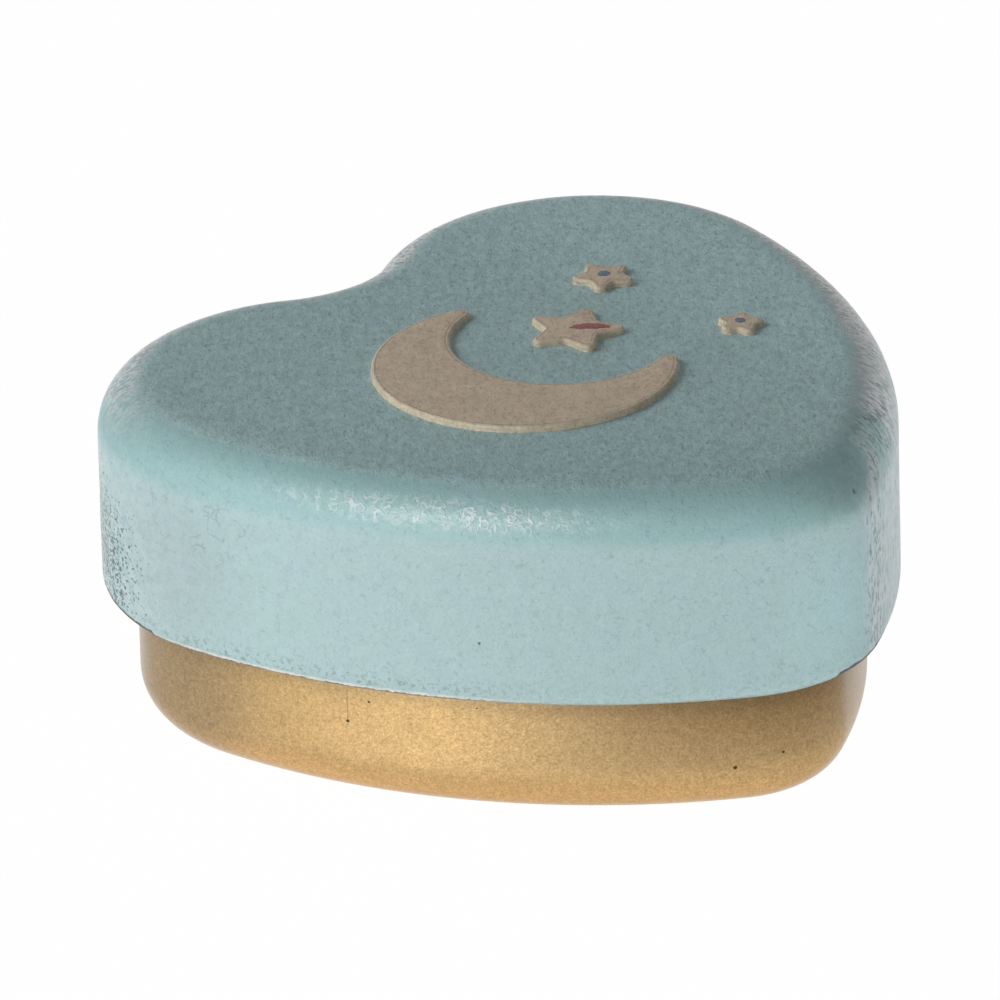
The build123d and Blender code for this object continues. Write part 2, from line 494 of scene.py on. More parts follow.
class Finish:
    """A node tree of a material or of the world, built node by node."""

    def __init__(self, name=None, tree=None):
        if tree is None:
            self.material = bpy.data.materials.new(name)
            self.material.use_nodes = True
            tree = self.material.node_tree
        tree.nodes.clear()
        self.tree = tree

    def node(self, kind, settings=None, inputs=None, output=0):
        """Adds a node, gives it its settings and then its inputs, and returns an output."""
        made = self.tree.nodes.new("ShaderNode" + kind)
        for name, value in (settings or {}).items():
            setattr(made, name, value)
        for key, value in (inputs or {}).items():
            socket = made.inputs[key]
            if isinstance(value, Flow):
                self.tree.links.new(value.socket, socket)
            else:
                socket.default_value = value
        return Flow(self, made.outputs[output]) if made.outputs else made

    def math(self, operation, *values):
        return self.node("Math", {"operation": operation}, dict(enumerate(values)))

    def most(self, first, *others):
        """The greatest of some values."""
        for other in others:
            first = self.math("MAXIMUM", first, other)
        return first

    def vector(self, operation, first, second):
        """A vector from a vector and another one, or the number that scales it."""
        inputs = {0: first, "Scale" if operation == "SCALE" else 1: second}
        return self.node("VectorMath", {"operation": operation}, inputs)

    def measure(self, operation, *vectors):
        """A length, a distance or a dot product."""
        inputs = dict(enumerate(vectors))
        return self.node("VectorMath", {"operation": operation}, inputs, "Value")

    def place(self):
        """Object coordinates in millimetres."""
        return self.vector("SCALE", self.node("TexCoord", output="Object"), 1 / MM)

    def part(self, place, name):
        """X, Y or Z of places."""
        return self.node("SeparateXYZ", None, {0: place}, name)

    def noise(self, place, size, detail=2.0, rough=0.5, output=0):
        """Cloudy noise from 0 to 1 whose blotches are about size across, in millimetres."""
        inputs = {"Vector": place, "Scale": 1 / size, "Detail": detail, "Roughness": rough}
        return self.node("TexNoise", None, inputs, output)

    def frayed(self, value, place, size, reach):
        """A value pushed up and down by noise of a size, by up to about half the reach."""
        return (self.noise(place, size) - 0.5) * reach + value

    def moved(self, place, size, reach):
        """Places pushed about by noise of a size, by up to about half the reach."""
        push = self.vector("SUBTRACT", self.noise(place, size, output="Color"), (0.5, 0.5, 0.5))
        return self.vector("ADD", place, self.vector("SCALE", push, reach))

    def ramp(self, value, low, high, start=0.0, end=1.0):
        """From start to end, smoothly, as value goes from low to high."""
        inputs = {"Value": value, "From Min": low, "From Max": high, "To Min": start, "To Max": end}
        return self.node("MapRange", {"interpolation_type": "SMOOTHSTEP"}, inputs)

    def fall(self, value, low, high, end=0.0):
        """From 1 to end, smoothly, as value goes from low to high."""
        return self.ramp(value, low, high, 1.0, end)

    def mix(self, share, first, second, blend="MIX"):
        """A colour between two colours, or one blended over the other."""
        settings = {"data_type": "RGBA", "blend_type": blend}
        return self.node("Mix", settings, {0: share, 6: first, 7: second}, 2)

    def coated(self, colour, *coats):
        """A colour with others laid over it in turn, each a share and a colour."""
        for share, coat in coats:
            colour = self.mix(share, colour, rgba(coat))
        return colour

    def varied(self, colour, cloud, low, high):
        """A colour times a shade from low to high, as cloud goes from 0 to 1."""
        return self.mix(1.0, colour, self.mix(cloud, rgba(low), rgba(high)), "MULTIPLY")

    def grained(self, colour, cloud, swing):
        """A colour made darker and lighter by a swing, as cloud goes from 0 to 1."""
        swing = np.broadcast_to(swing, 3)
        return self.varied(colour, cloud, 1 - swing, 1 + swing)

    def tinted(self, colour, *tints):
        """A colour times some tints, each given as a share and a tint."""
        for share, tint in tints:
            colour = self.varied(colour, share, (1, 1, 1), tint)
        return colour

    def drawn_out(self, place):
        """Places squeezed along the ground towards the camera, so that marks are longer there."""
        turn = {"Vector": place, "Rotation": (0, 0, SIGHT_TURN)}
        return self.vector("MULTIPLY", self.node("Mapping", None, turn), (0.65, 1, 1))

    def around(self, place, reach):
        """X runs round the tin at a reach from its axis. Y and Z run outward and up, squeezed,
        so that marks are streaks down the bend and the wall."""
        x, y, z = (self.part(place, name) for name in "XYZ")
        out = self.measure("LENGTH", self.vector("MULTIPLY", place, (1, 1, 0)))
        axes = {"X": self.math("ARCTAN2", y, x) * reach, "Y": out * 0.45, "Z": z * 0.45}
        return self.node("CombineXYZ", None, axes)

    def pebbled(self, place):
        """Places drawn out towards the camera, and their pebbles, mottling and grain."""
        drawn = self.drawn_out(place)
        pebble, mottle = (self.noise(drawn, size, 3.0, 0.6) for size in (0.38, 0.80))
        return drawn, pebble, mottle, self.noise(drawn, 0.14, 2.0, 0.6)

    def lines(self, place, size, width):
        """Lines of about a width where a noise of a size passes through its middle value."""
        offset = abs(self.noise(place, size, 1.0) - 0.5)
        slope = 0.55 / size
        return self.fall(offset, 0.15 * width * slope, 0.6 * width * slope)

    def hair_cracks(self, place, low, high):
        """Hair cracks, broken off where a noise is below low and whole where it is above high."""
        gaps = self.ramp(self.noise(place, 0.55, 1.0), low, high)
        return self.lines(self.moved(place, 0.5, 0.3), 0.75, 0.05) * gaps

    def network(self, place, size, width):
        """Lines of about a width between cells of a size."""
        cells = {"Vector": place, "Scale": 1 / size}
        edges = {"feature": "DISTANCE_TO_EDGE"}
        away = self.node("TexVoronoi", edges, cells, "Distance")
        return self.fall(away, 0.15 * width / size, 0.6 * width / size)

    def cells(self, place, size, share):
        """How far places lie from the middle of their cell, and 1 in a share of the cells."""
        inputs = {"Vector": place, "Scale": 1 / size}
        away = self.node("TexVoronoi", None, inputs, "Distance")
        chance = self.node("TexVoronoi", None, inputs, "Color")
        chance = self.node("SeparateColor", None, {0: chance}, "Red")
        return away, self.math("LESS_THAN", chance, share)

    def rings(self, place, size):
        """Thin rings in most of the cells of a size."""
        away, picked = self.cells(place, size, 0.55)
        return self.fall(abs(away - 0.34), 0.03, 0.09) * picked

    def dots(self, place, size, radius, share):
        """Round dots in a share of the cells of a size. The radius is in cells."""
        away, picked = self.cells(place, size, share)
        return self.fall(away, 0.45 * radius, radius) * picked

    def flecks(self, place, size, level):
        """Small irregular flecks of about a size where a noise falls below a level."""
        return self.fall(self.noise(place, size, 2.0, 0.6) - level, -0.05, 0.03)

    def near(self, place, point, inner, outer):
        """1 within inner of a point and 0 beyond outer, all in millimetres."""
        return self.fall(self.measure("DISTANCE", place, point), inner, outer)

    def within(self, place, patch, inner):
        """1 in the inner share of a patch's reach, and 0 beyond its reach."""
        x, y, z, across, up = patch
        away = self.vector("SUBTRACT", place, (x, y, z))
        away = self.vector("MULTIPLY", away, (1 / across, 1 / across, 1 / up))
        return self.fall(self.measure("LENGTH", away), inner, 1.0)

    def ragged(self, place, patch, fray, inner=0.75):
        """1 inside a patch, fading from the inner share of its reach outward, its border frayed."""
        return self.within(self.moved(place, 0.8, fray), patch, inner)

    def scratch(self, place, scratch):
        """1 on a thin upright scratch."""
        return self.within(self.moved(place, 0.4, 0.06), scratch, 0.4)

    def marks(self, place, marks):
        """1 inside any of a few small marks."""
        pushed = self.moved(place, 0.15, 0.12)
        return self.most(*[self.near(pushed, mark[:3], 0.5 * mark[3], mark[3]) for mark in marks])

    def bare_edge(self, place, rise, edge):
        """1 on a ragged line along the lower edge, from a start, a way and a length. It widens
        with the way gone from the start: rise < 0.62 + 0.009 * gone * gone."""
        start, way, reach = edge
        gone = self.measure("DOT_PRODUCT", self.vector("SUBTRACT", place, start), way)
        line = self.fall(self.frayed(rise - gone * gone * 0.009, place, 0.5, 0.3), 0.54, 0.70)
        return line * self.ramp(gone, 0.0, 0.15) * self.near(place, start, 0.6 * reach, reach)

    def turned_away(self):
        """0 where the surface faces the eye and 1 where it is nearly seen edge on."""
        facing = self.node("LayerWeight", None, {"Blend": 0.5}, "Facing")
        return self.ramp(facing, 0.62, 0.92)

    def surface(self, shade, rough, relief, depth, metal=0.0, coat=None):
        """The material, with a relief whose whole swing is depth in millimetres."""
        bump = {"Strength": 1.0, "Distance": depth * MM, "Height": relief}
        inputs = {
            "Base Color": shade,
            "Metallic": metal,
            "Roughness": rough,
            "Normal": self.node("Bump", None, bump),
        }
        if coat:
            inputs.update({"Coat Weight": coat, "Coat Roughness": COAT_ROUGHNESS})
        shader = self.node("BsdfPrincipled", None, inputs)
        self.node("OutputMaterial", None, {"Surface": shader})
        return self.material


def rgba(value):
    return (*value, 1.0)


# Finishes


def aqua_paint(tin):
    """Satin pebbled paint with dark flecks and hair cracks: porous at the left lobe, pale curls of
    painted highlight on the front bend, chalky and streaked at the heart's tip with painted sheen, worn
    along the lower edge, and painted shade and painted light on its bend, top and sides."""
    colours, sizes = tin.colours, tin.sizes
    paint = Finish("aqua_paint")
    place = paint.place()
    height = paint.part(place, "Z")
    top = (LID_HIGH.z - sizes.relief) / MM
    wall_top = top - sizes.lid_corner / MM
    edge = LID_LOW.z / MM
    rim = paint.frayed(height, place, 0.6, 0.5)
    upper = paint.ramp(height, wall_top + 0.3, top - 1.2)
    crown = paint.ramp(height, top - 0.3, top)
    bend = paint.ramp(height, wall_top, wall_top + 1.2) * paint.fall(height, top - 0.3, top)
    rear = paint.measure("DOT_PRODUCT", place, REAR_WAY)

    # Colour of the sound paint: wall, with painted shade on the bend and painted light on the top, then
    # its grain
    shade = paint.coated(rgba(colours.aqua), (bend, colours.aqua_bend_shade), (crown, colours.aqua_top_light))
    cloud = paint.ramp(paint.noise(place, 2.2), 0.3, 0.7)
    shade = paint.varied(shade, cloud, (0.99, 1.0, 0.98), (0.995, 0.995, 1.01))
    drawn, pebble, mottle, grain = paint.pebbled(place)
    shade = paint.grained(shade, (pebble + mottle - 1.0) * (crown * 1.5 + 0.5) + 0.5, 0.14)
    shade = paint.grained(shade, grain, 0.13)

    # Flecks all over, hair cracks in places, pores that crowd together at the left lobe
    flecks = paint.flecks(drawn, 0.25, 0.36)
    cracks = paint.hair_cracks(place, 0.48, 0.58)
    porous = paint.ragged(place, LOBE_PORES, 2.0, 0.1)
    pores = paint.flecks(drawn, 0.22, porous * 0.36 + 0.14)
    parted = paint.ramp(paint.noise(place, 0.9, 1.0), 0.48, 0.54)
    parted = parted * paint.network(paint.moved(place, 0.6, 0.6), 1.5, 0.10)
    shade = paint.coated(
        shade,
        (flecks * (crown * 0.18 + 0.13), colours.crack),
        (paint.flecks(drawn, 0.36, 0.42) * crown * 0.20, colours.crack),
        (paint.flecks(drawn, 0.16, 0.37) * crown * 0.50, colours.scuff_and_sheen),
        (cracks * 0.18, colours.crack),
        (parted * paint.ragged(place, LOBE_CRACKS, 1.0, 0.4) * 0.26, colours.crack),
        (porous * paint.ramp(mottle, 0.40, 0.60) * 0.55, colours.scuff_and_sheen),
        (pores * 0.90, colours.crack),
    )

    # Curls are rings and the level lines of a noise, broken up by another, on a patchy sheen: painted
    # highlights, which the curls also raise in the relief
    curled = paint.ragged(place, FRONT_CURLS, 0.5, 0.3)
    curls = paint.lines(paint.moved(place, 0.8, 0.5), 0.62, 0.13)
    curls = curls * paint.ramp(paint.noise(place, 0.5, 1.0), 0.44, 0.57)
    curls = paint.most(curls, paint.rings(paint.moved(place, 0.4, 0.40), 0.80)) * curled
    sheen = paint.ramp(mottle, 0.42, 0.60) * curled
    shade = paint.coated(shade, (sheen * 0.15, colours.glint), (curls * 0.55, colours.glint))

    # Chalky paint is pale in patches, with dark streaks that run down the bend and the wall. Its pale
    # patches and strokes also paint the sheen where the tip's wall turns away.
    chalk_and_sheen = paint.ragged(place, SIDE_CHALK, 1.6, 0.95) * paint.fall(rim, top - 0.55, top - 0.03)
    chalk_and_sheen = chalk_and_sheen * (1.0 - paint.ragged(place, TIP_SOUND, 1.0, 0.75))
    tipward = paint.near(place, LID_GOUGE[:3], 8.0, 32.0)
    chalk_and_sheen = chalk_and_sheen * (tipward * (1.0 - upper * 0.7) + upper * 0.7)
    streaked = paint.around(place, STREAK_REACH)
    hatched = paint.moved(streaked, 0.5, 0.45)
    patches = paint.ramp(paint.noise(streaked, 0.55), 0.36, 0.60, 0.15, 1.0)
    patches = patches * paint.fall(height, wall_top + 0.6, top - 0.6, 0.85)
    fair = 1.0 - paint.near(place, RIM_DARK, 1.0, 5.0) * 0.8
    crowded = paint.ragged(place, TIP_STREAKS, 1.0, 0.3) + upper
    strokes = paint.flecks(hatched, 0.40, 0.53) * chalk_and_sheen * upper * fair
    streaks = paint.flecks(hatched, 0.26, crowded * 0.09 + 0.36) * chalk_and_sheen
    shade = paint.coated(
        shade,
        (patches * chalk_and_sheen * fair, colours.scuff_and_sheen),
        (strokes * 0.85, colours.frost_and_sheen),
        (streaks * (upper * 0.20 + 0.55), colours.crack),
    )

    # Soft patches of painted shade and painted light: darker at the tip's bend, the left lobe's bend
    # and its wall, lighter on the tip's wall, and on the top lighter towards the right and darker
    # towards the front
    lobe_shade = paint.ragged(place, LOBE_SHADE, 1.5, 0.1)
    shade = paint.tinted(
        shade,
        (paint.ragged(place, TIP_SHADE, 1.5, 0.1), (0.66, 0.64, 0.64)),
        (paint.ragged(place, TIP_LIGHT, 1.5, 0.1), (1.06, 1.11, 1.12)),
        (lobe_shade, (0.86, 0.88, 0.88)),
        (paint.ragged(place, LOBE_WALL_SHADE, 1.5, 0.1), (0.91, 0.88, 0.88)),
        (paint.ramp(paint.part(place, "X"), 5.0, 16.0) * crown, (1.12, 1.13, 1.13)),
        (paint.fall(rear, -18.0, -9.0) * crown, (0.90, 0.94, 0.94)),
    )

    # The cleft is worn, with a painted sheen. The bend at the back is scuffed just below the top, pale
    # and frosted, which is also painted sheen where the bend turns away.
    cleft_wear_and_sheen = paint.ragged(place, CLEFT_WEAR_AND_SHEEN, 1.2, 0.3) * paint.ramp(pebble, 0.35, 0.6)
    rear_scuff_and_sheen = paint.ramp(rear, -9.0, 8.0) * paint.fall(height, top - 0.20, top - 0.01)
    rear_scuff_and_sheen = rear_scuff_and_sheen * paint.fall(rim, top - 0.35, top + 0.1)
    rear_scuff_and_sheen = rear_scuff_and_sheen * paint.ramp(height, top - 2.4, top - 1.0)
    frost_and_sheen = paint.flecks(paint.moved(streaked, 0.4, 0.5), 0.34, 0.55) * rear_scuff_and_sheen
    shade = paint.coated(
        shade,
        (cleft_wear_and_sheen * 0.8, colours.glint),
        (rear_scuff_and_sheen * paint.ramp(mottle, 0.42, 0.58, 0.25, 1.0) * 0.8, colours.scuff_and_sheen),
        (frost_and_sheen * 0.95, colours.frost_and_sheen),
        (paint.flecks(hatched, 0.34, 0.46) * rear_scuff_and_sheen * 0.8, colours.crack),
    )

    # Lower edge: small chips, a pale worn line with painted shade under it along the roll's underside,
    # bare sheet in two places
    rubbed_and_shaded = paint.ragged(place, WORN_EDGE, 1.0, 0.4)
    nicks = paint.flecks(place, 0.30, 0.43) * paint.fall(height, edge + 0.9, edge + 2.2)
    low = paint.frayed(height, place, 0.30, 0.45)
    worn = paint.fall(low, edge + 0.42, edge + 0.66) * rubbed_and_shaded
    worn = worn * paint.ramp(paint.noise(place, 0.7), 0.3, 0.55, 0.45, 1.0)
    roll_underside_shade = paint.fall(low, edge + 0.28, edge + 0.38) * (rubbed_and_shaded * 0.75 + 0.15)
    bare = paint.most(*[paint.bare_edge(place, height - edge, line) for line in BARE_EDGES])
    chips = paint.most(paint.marks(place, LID_CHIPS), paint.scratch(place, LID_GOUGE))
    shade = paint.coated(
        shade,
        (nicks * (rubbed_and_shaded * 0.30 + 0.12), colours.crack),
        (worn * 0.80, colours.worn_edge),
        (roll_underside_shade, colours.roll_underside_shade),
        (bare * 0.95, colours.bare),
        (chips, colours.crack),
    )

    relief = pebble * 1.6 + grain * 0.6 + curls - flecks * 0.4 - cracks * 0.3
    relief = (relief - pores * 0.8 - streaks - chips) * (crown * 0.8 + 1.0)
    glossy = paint.turned_away() * paint.ramp(pebble, 0.38, 0.58, 0.55, 1.0)
    dull = paint.fall(paint.noise(streaked, 0.36), 0.42, 0.56) * chalk_and_sheen
    glossy = glossy * (1.0 - lobe_shade * 0.7) * (1.0 - dull * 0.75)
    glossy = paint.most(glossy, paint.most(strokes, frost_and_sheen) * 0.9)
    return paint.surface(shade, 0.50 - curled * 0.14, relief, 0.022, coat=glossy * (1.0 - bare))


def gold_paint(tin):
    """Satin metallic paint with a fine bright grain. Painted shade darkens it under the lid's edge,
    where it also reads as rubbed, towards the tip and at the left lobe, and painted light brightens its
    lower bend. It has small pits and an upright scratch."""
    gold, pit = tin.colours.gold, tin.colours.pit
    paint = Finish("gold_paint")
    place = paint.place()
    height = paint.part(place, "Z")
    edge = LID_LOW.z / MM
    grain = paint.noise(place, 0.15, 3.0, 0.65)
    blotch = paint.noise(place, 0.42, 3.0, 0.6)
    shade = paint.grained(rgba(gold), grain, 0.60)
    shade = paint.grained(shade, blotch, (0.25, 0.26, 0.30))
    # Painted shade: a patch at the upper right and darker higher up, towards the tip above the bend, at
    # the left lobe, and under the lid's edge, which also reads as rubbing; painted light on the lower
    # bend
    shaded = paint.ragged(place, GOLD_SHADE, 1.0, 0.1) * 0.85 + paint.ramp(height, 4.0, 9.0) * 0.1
    front = paint.ramp(paint.measure("DOT_PRODUCT", place, TIPWARD), -5.0, 4.0)
    rubbed_and_shaded = paint.ramp(height, edge - 2.0, edge - 0.5) * paint.fall(height, edge, edge + 9.0)
    shade = paint.tinted(
        shade,
        (shaded, (0.52, 0.48, 0.44)),
        (front * paint.ramp(height, 2.8, 4.2), (0.84, 0.85, 0.90)),
        (paint.fall(height, 1.6, 3.4), (1.15, 1.11, 1.06)),
        (paint.ragged(place, GOLD_LOBE_SHADE, 1.0, 0.4), (0.75, 0.79, 0.94)),
        (rubbed_and_shaded, (0.80, 0.83, 0.88)),
    )
    pits = paint.dots(place, 0.7, 0.10, 0.12)
    scratch = paint.scratch(place, GOLD_SCRATCH)
    marks = paint.marks(place, GOLD_PITS)
    shade = paint.coated(shade, (pits * 0.5, pit), (scratch * 0.3, pit), (marks * 0.95, pit))
    relief = grain * 0.8 + blotch * 0.8 - pits - marks - scratch * 0.5
    rough = paint.ramp(paint.noise(place, 4.0), 0.3, 0.7, 0.33, 0.38)
    return paint.surface(shade, rough, relief, 0.016, metal=1.0, coat=paint.turned_away())


def cream_enamel(tin):
    """Fawn enamel, cream on the emblem's sides, with a fine crackle and a dark line of painted shade in
    the crease inside its edge."""
    side, crack = tin.colours.cream_side, tin.colours.enamel_crack
    paint = Finish("cream_enamel")
    place = paint.place()
    inset = paint.node("Attribute", {"attribute_name": "rim"}, output="Fac")
    brim = tin.sizes.relief_round / MM
    shade = rgba(tin.colours.cream)
    shade = paint.coated(shade, (paint.fall(inset, 0.5 * brim, 1.3 * brim), side))
    drawn, pebble, mottle, grain = paint.pebbled(place)
    shade = paint.grained(shade, grain, 0.13)
    shade = paint.grained(shade, (pebble + mottle - 1.0) * 1.5 + 0.5, (0.15, 0.16, 0.18))
    flecks = paint.flecks(drawn, 0.24, 0.42)
    specks = paint.flecks(drawn, 0.16, 0.38)
    cracks = paint.hair_cracks(place, 0.40, 0.52)
    # Painted shade in the crease inside the edge, which also dents the relief
    crease_shade = paint.fall(abs(inset - 1.35 * brim), 0.2 * brim, 0.45 * brim)
    crease_shade = crease_shade * paint.ramp(paint.noise(place, 1.0), 0.35, 0.5, 0.4, 1.0)
    shade = paint.coated(
        shade,
        (flecks * 0.24, crack),
        (specks * 0.35, side),
        (cracks * 0.25, crack),
        (crease_shade * 0.3, crack),
    )
    relief = pebble * 1.4 + grain * 0.6 - flecks * 0.4 - cracks * 0.3 - crease_shade * 0.8
    return paint.surface(shade, 0.45, relief, 0.02, coat=paint.turned_away())


def bare_tinplate(tin):
    """Satin rolled sheet: fine lines along X, a soft cloudiness and small dull spots."""
    bare = tin.colours.tinplate
    sheet = Finish("bare_tinplate")
    place = sheet.place()
    rolled = sheet.node("Mapping", None, {"Vector": place, "Scale": (0.06, 1.0, 1.0)})
    lines = sheet.noise(rolled, 0.16, 3.0, 0.6)
    spots = sheet.dots(place, 1.4, 0.16, 0.25)
    shade = sheet.varied(rgba(bare), lines, (0.90, 0.90, 0.90), (1.08, 1.08, 1.08))
    shade = sheet.coated(shade, (spots * 0.35, [0.45 * c for c in bare]))
    rough = sheet.ramp(sheet.noise(place, 3.5, 3.0), 0.3, 0.7, 0.26, 0.38) + spots * 0.15
    return sheet.surface(shade, rough, lines, 0.003, metal=1.0)


def touch_enamel(name, value):
    """A small touch of coloured enamel, streaked by the brush and broken by the crackle."""
    paint = Finish(name)
    streak = paint.noise(paint.place(), 0.16)
    shade = paint.mix(streak, rgba([0.7 * c for c in value]), rgba([1.3 * c for c in value]))
    shade = paint.coated(shade, (paint.fall(streak, 0.36, 0.46) * 0.5, (0.52, 0.40, 0.33)))
    return paint.surface(shade, 0.42, streak, 0.015)


# Operators


class TIN_OT_lid(bpy.types.Operator):
    """Make the lid: crown, bend, wall and rolled edge in one closed skin"""

    bl_idname = "tin.lid"
    bl_label = "Lid"

    def execute(self, context):
        tin = context.scene.tin
        sizes = tin.sizes
        outline = stations(heart_arcs(sizes), ROUND)
        top, low = LID_HIGH.z - sizes.relief, LID_LOW.z
        corner, curl, sheet = sizes.lid_corner, sizes.lid_curl, sizes.sheet
        turn = sizes.lid_curl_turn
        roll_middle, bend_middle = (curl, low + curl), (corner, top - corner)
        outer = in_row(
            arc_points(bend_middle, corner, QUARTER, QUARTER, 14),
            20,
            arc_points(roll_middle, curl, math.pi, turn, 20),
        )
        lining = in_row(
            arc_points(roll_middle, curl - sheet, math.pi + turn, -turn, 14),
            9,
            arc_points(bend_middle, corner - sheet, math.pi, -QUARTER, 9),
        )
        pole = np.array([0.0, 0.1 * LID_HIGH.y, top])
        under = pole - [0, 0, sheet]
        outside, inside = carried(outline, outer), carried(outline, lining)
        crown = drawn_in(outside[0], pole, even(24))
        way = self.outward(outline, outer, len(crown))
        painted = rippled(np.concatenate([crown, outside]), way, sizes.ripple, 5)
        ceiling = self.pressed(drawn_in(inside[-1], under, even(90))[::-1], sizes)
        poles = self.pressed(np.array([[pole], [under]]), sizes, [0, 1])[:, 0]
        skin = Skin()
        rings = np.concatenate([painted, inside, ceiling])
        skin.closed(rings, poles, bare=len(painted), turned=True)
        lid = skin.piece("lid_shell", [aqua_paint(tin), bare_tinplate(tin)])
        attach(lid, "lid")
        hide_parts("lid")
        return {"FINISHED"}

    @staticmethod
    def pressed(grid, sizes, share=1.0):
        """The ceiling with the emblem's hollow: points inside one of its outlines rise smoothly
        to the hollow's depth over a narrow slope."""
        points = grid.reshape(-1, 3).copy()
        stars = [stations(star_arcs(*star), STAR_HOLLOW_ROUND) for star in STARS.values()]
        for outline in [moon_outline(MOON_HOLLOW_ROUND), *stars]:
            depth = depth_inside(points, outline)
            rise = np.clip(depth / sizes.hollow_slope, 0, 1)
            points[:, 2] += rise**2 * (3 - 2 * rise) * sizes.hollow_depth * share
        return points.reshape(grid.shape)

    @staticmethod
    def outward(outline, section, crown_rows):
        """The way out of the painted skin: up on the crown, square to the section below it, and
        nothing on the rolled edge, which has to clear the base."""
        step = np.gradient(section, axis=0)
        step /= np.linalg.norm(step, axis=1, keepdims=True)
        fade = np.clip((section[:, 1] - LID_LOW.z - 2 * MM) / (2 * MM), 0, 1)
        out, rise = step[:, 1] * fade, -step[:, 0] * fade
        flat = -out[:, None, None] * outline[1][None]
        upward = np.broadcast_to(-rise[:, None, None], (*flat.shape[:2], 1))
        below = np.concatenate([flat, upward], axis=2)
        above = np.broadcast_to(np.array(UP), (crown_rows, *below.shape[1:]))
        return np.concatenate([above, below])


class TIN_OT_base(bpy.types.Operator):
    """Make the base: pressed bottom, bend, wall and rolled rim in one closed skin"""

    bl_idname = "tin.base"
    bl_label = "Base"

    def execute(self, context):
        tin = context.scene.tin
        sizes = tin.sizes
        outline = stations(heart_arcs(sizes), ROUND)
        inset = LID_HIGH.x - BASE_HIGH.x
        rim, low = BASE_HIGH.z, BASE_LOW.z
        corner, curl, sheet = sizes.base_corner, sizes.base_curl, sizes.sheet
        step, bend, turn = sizes.foot_step, sizes.step_round, sizes.base_curl_turn
        below = inset + sizes.foot_band
        above, floor = below - sheet, low + sheet
        roll_middle, bend_middle = (inset + curl, rim - curl), (inset + corner, low + corner)
        outer = in_row(
            arc_points((below + bend, low + step - bend), bend, QUARTER, QUARTER, 5),
            arc_points((below - bend, low + bend), bend, 0, -QUARTER, 5),
            3,
            arc_points(bend_middle, corner, -QUARTER, -QUARTER, 14),
            22,
            arc_points(roll_middle, curl, math.pi, -turn, 18),
        )
        lining = in_row(
            arc_points(roll_middle, curl - sheet, math.pi - turn, turn, 12),
            14,
            arc_points(bend_middle, corner - sheet, math.pi, QUARTER, 9),
            3,
            arc_points((above - bend, floor + bend), bend, -QUARTER, QUARTER, 4),
            arc_points((above + bend, floor + step - bend), bend, math.pi, -QUARTER, 5),
        )
        pole = np.array([0.0, 0.1 * LID_HIGH.y, low + step])
        raised = pole + [0, 0, sheet]
        outside, inside = carried(outline, outer), carried(outline, lining)
        painted = np.concatenate([drawn_in(outside[0], pole, even(16)), outside])
        lined = drawn_in(inside[-1], raised, even(16))[::-1]
        skin = Skin()
        rings = np.concatenate([painted, inside, lined])
        skin.closed(rings, [pole, raised], bare=len(painted))
        base = skin.piece("base_shell", [gold_paint(tin), bare_tinplate(tin)])
        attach(base, "base")
        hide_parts("base")
        return {"FINISHED"}


def moon_arcs():
    """A crescent's back and its hollow. Each starts and ends half-way round a horn."""
    middle, radius, way, horn = Vector(MOON), MOON_RADIUS, HOLLOW_WAY, HORN_ROUND
    hollow = middle + heading(way).to_2d() * HOLLOW_SHIFT
    upper = crossing(middle, radius - horn, hollow, HOLLOW_RADIUS + horn)
    lower = crossing(hollow, HOLLOW_RADIUS + horn, middle, radius - horn)
    half_mouth = bearing(upper - middle) - way
    half_hollow = bearing(upper - hollow) - way
    half_horn = (math.pi + half_mouth - half_hollow) / 2
    back = [
        (*upper, horn, way + half_mouth - half_horn, half_horn),
        (*middle, radius, way + half_mouth, 2 * (math.pi - half_mouth)),
        (*lower, horn, way - half_mouth, half_horn),
    ]
    front = [
        (*lower, horn, way - half_mouth + half_horn, half_horn),
        (*hollow, HOLLOW_RADIUS, way - half_hollow, 2 * (half_hollow - math.pi)),
        (*upper, horn, way + half_mouth - 2 * half_horn, half_horn),
    ]
    return np.array(back), np.array(front)


def moon_outline(count):
    """Stations round the crescent: the first half of them on its back, the rest on its hollow."""
    halves = [stations(arcs, count // 2, closed=False) for arcs in moon_arcs()]
    return tuple(np.concatenate(parts) for parts in zip(*halves))


def star_arcs(x, y, radius, turn):
    """A star with rounded tips and notches, joined by straight sides."""
    step = math.pi / STAR_POINTS
    waist = radius * STAR_WAIST_SHARE
    half_tip = math.atan2(waist * math.sin(step), radius - waist * math.cos(step))
    half_notch = half_tip + step
    tip_reach = radius - STAR_TIP_ROUND / math.sin(half_tip)
    notch_reach = waist + STAR_NOTCH_ROUND / math.sin(half_notch)
    tips = QUARTER + turn + 2 * step * np.arange(STAR_POINTS)
    corners = (
        (tips, tip_reach, STAR_TIP_ROUND, half_tip, math.pi - 2 * half_tip),
        (tips + step, notch_reach, STAR_NOTCH_ROUND, -half_notch, 2 * half_notch - math.pi),
    )
    arcs = []
    for ways, reach, bend, start, span in corners:
        middle = x + reach * np.cos(ways), y + reach * np.sin(ways)
        every = np.ones(STAR_POINTS)
        arcs.append(np.column_stack([*middle, bend * every, ways + start - QUARTER, span * every]))
    return np.stack(arcs, axis=1).reshape(-1, 5)


